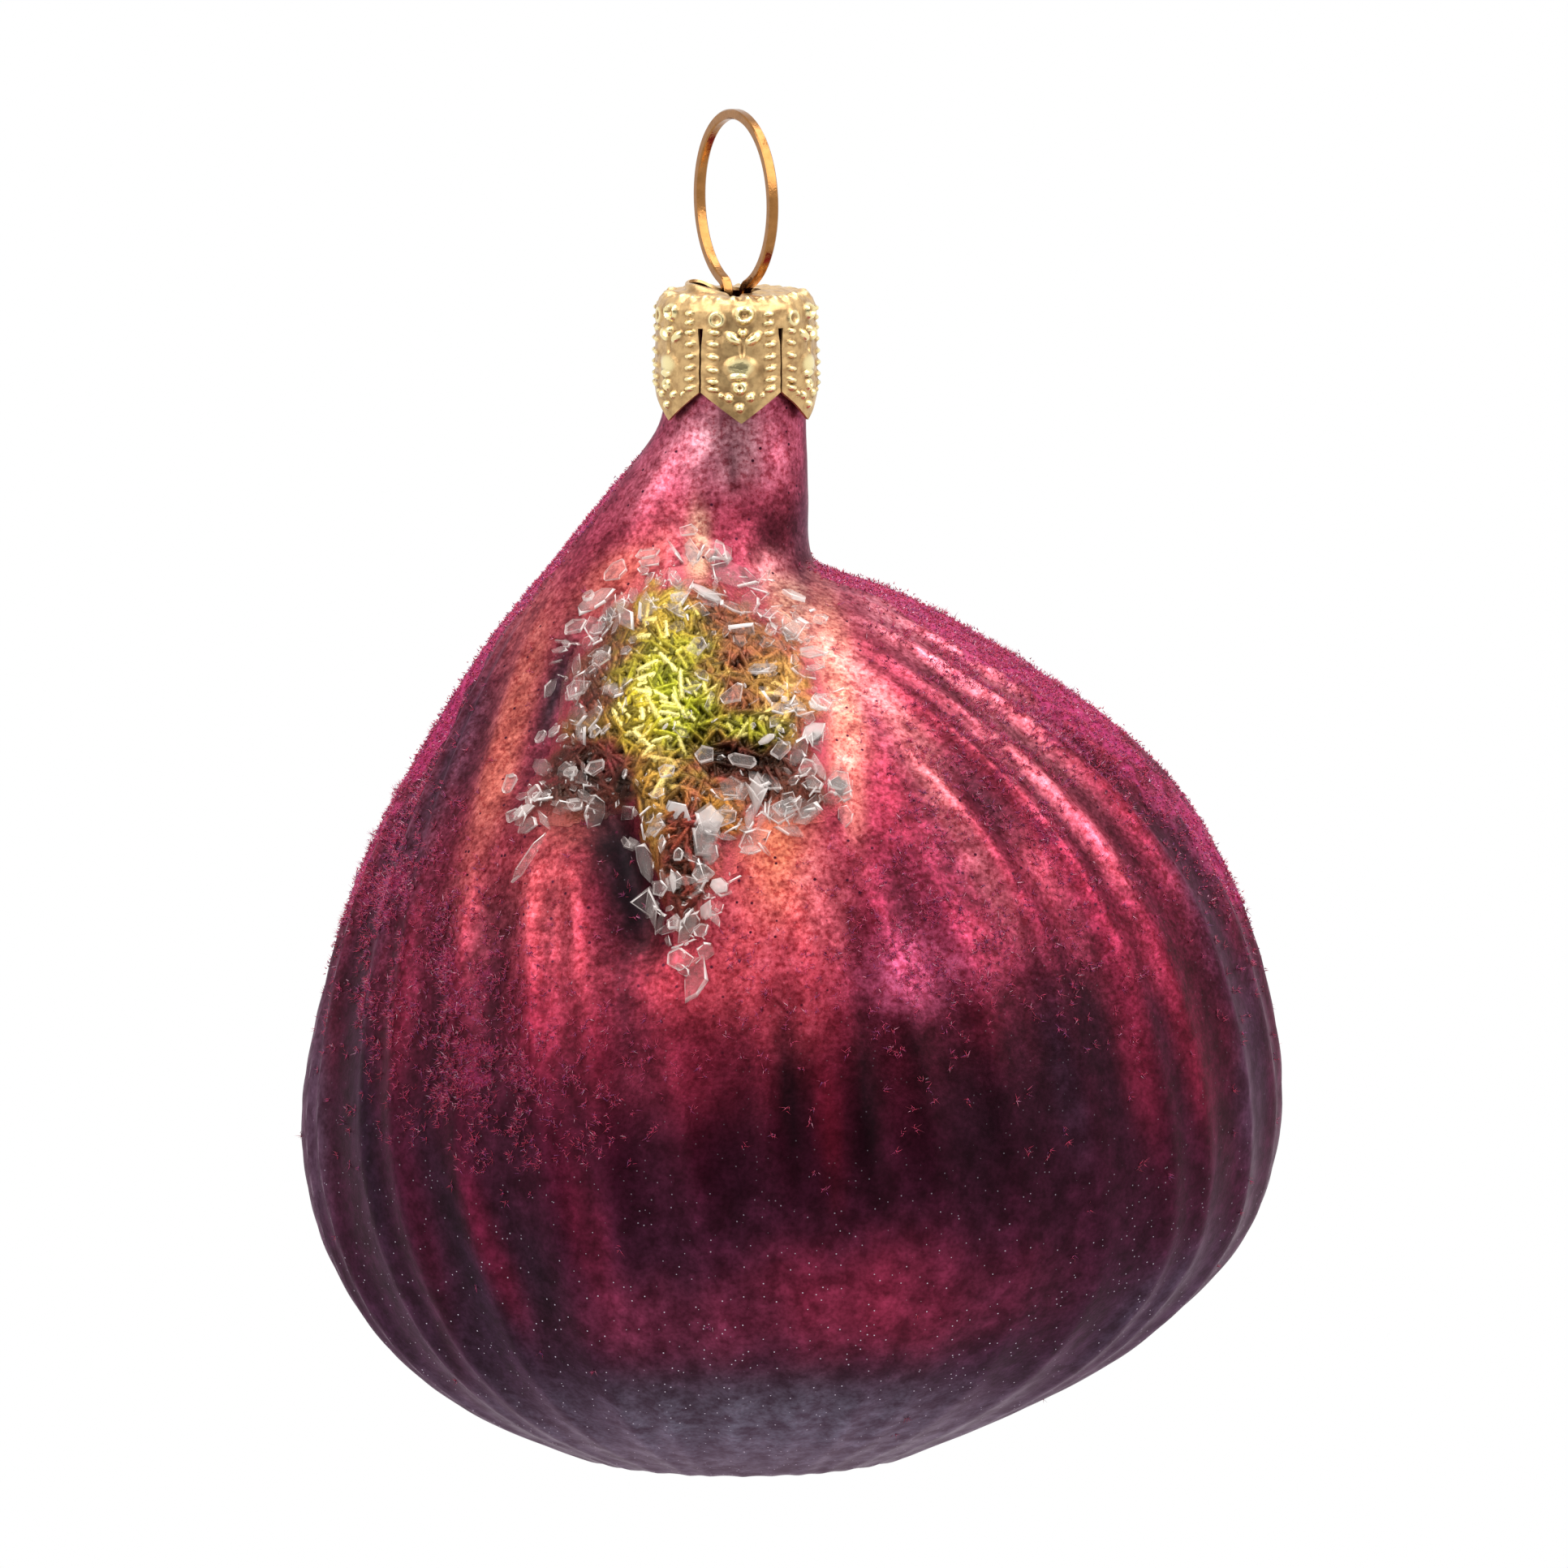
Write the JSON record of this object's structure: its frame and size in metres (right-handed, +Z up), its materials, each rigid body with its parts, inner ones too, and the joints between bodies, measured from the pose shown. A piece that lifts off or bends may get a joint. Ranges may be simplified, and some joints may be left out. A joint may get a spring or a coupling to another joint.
{
  "type": "glass fig ornament",
  "caption": "Hollow blown glass fig ornament with a star of crushed glass, a stamped crown cap and a sprung wire hanging loop.",
  "frame": {"origin": "inside top of the hanging loop, where a hook or ribbon bears", "axes": "+Z up along the neck's axis, -Y towards the front of the fig with its star, +X to the side that bulges further"},
  "size_m": [0.0646, 0.059, 0.0897],
  "materials": {
    "lacquered_glass": "satin burgundy to plum lacquer over silvered glass, with patches of magenta flock",
    "gold_cap": "bright pale gold, embossed with beads and leaves",
    "brass_wire": "drawn and polished, copper-gold",
    "green_glue": "crinkled glitter glue, yellow-green in the middle and amber at the edges",
    "crushed_glass": "clear, sharp edged flakes"
  },
  "bodies": {
    "hanger": {"hanger_wire": "brass_wire"},
    "cap": {"crown_cap": "gold_cap"},
    "glass": {"glass_body": "lacquered_glass", "glue_star": "green_glue", "shard_01": "crushed_glass", "shard_02": "crushed_glass", "shard_03": "crushed_glass", "shard_04": "crushed_glass", "shard_05": "crushed_glass", "shard_06": "crushed_glass", "shard_07": "crushed_glass", "shard_08": "crushed_glass", "shard_09": "crushed_glass", "shard_10": "crushed_glass", "shard_11": "crushed_glass", "shard_12": "crushed_glass", "shard_13": "crushed_glass", "shard_14": "crushed_glass", "shard_15": "crushed_glass", "shard_16": "crushed_glass", "shard_17": "crushed_glass", "shard_18": "crushed_glass", "shard_19": "crushed_glass", "shard_20": "crushed_glass", "shard_21": "crushed_glass", "shard_22": "crushed_glass", "shard_23": "crushed_glass", "shard_24": "crushed_glass", "shard_25": "crushed_glass", "shard_26": "crushed_glass", "shard_27": "crushed_glass", "shard_28": "crushed_glass", "shard_29": "crushed_glass", "shard_30": "crushed_glass", "shard_31": "crushed_glass", "shard_32": "crushed_glass", "shard_33": "crushed_glass", "shard_34": "crushed_glass", "shard_35": "crushed_glass", "shard_36": "crushed_glass", "shard_37": "crushed_glass", "shard_38": "crushed_glass", "shard_39": "crushed_glass", "shard_40": "crushed_glass"}
  },
  "joints": [
    {"name": "cap_swivel", "type": "hinge", "parent": "hanger", "child": "cap", "pos_m": [0, 0, -0.01125], "axis": [0, 0, 1], "continuous": true},
    {"name": "glass_pull", "type": "slide", "parent": "cap", "child": "glass", "axis": [0, 0, -1], "range_m": [0, 0.018]}
  ]
}
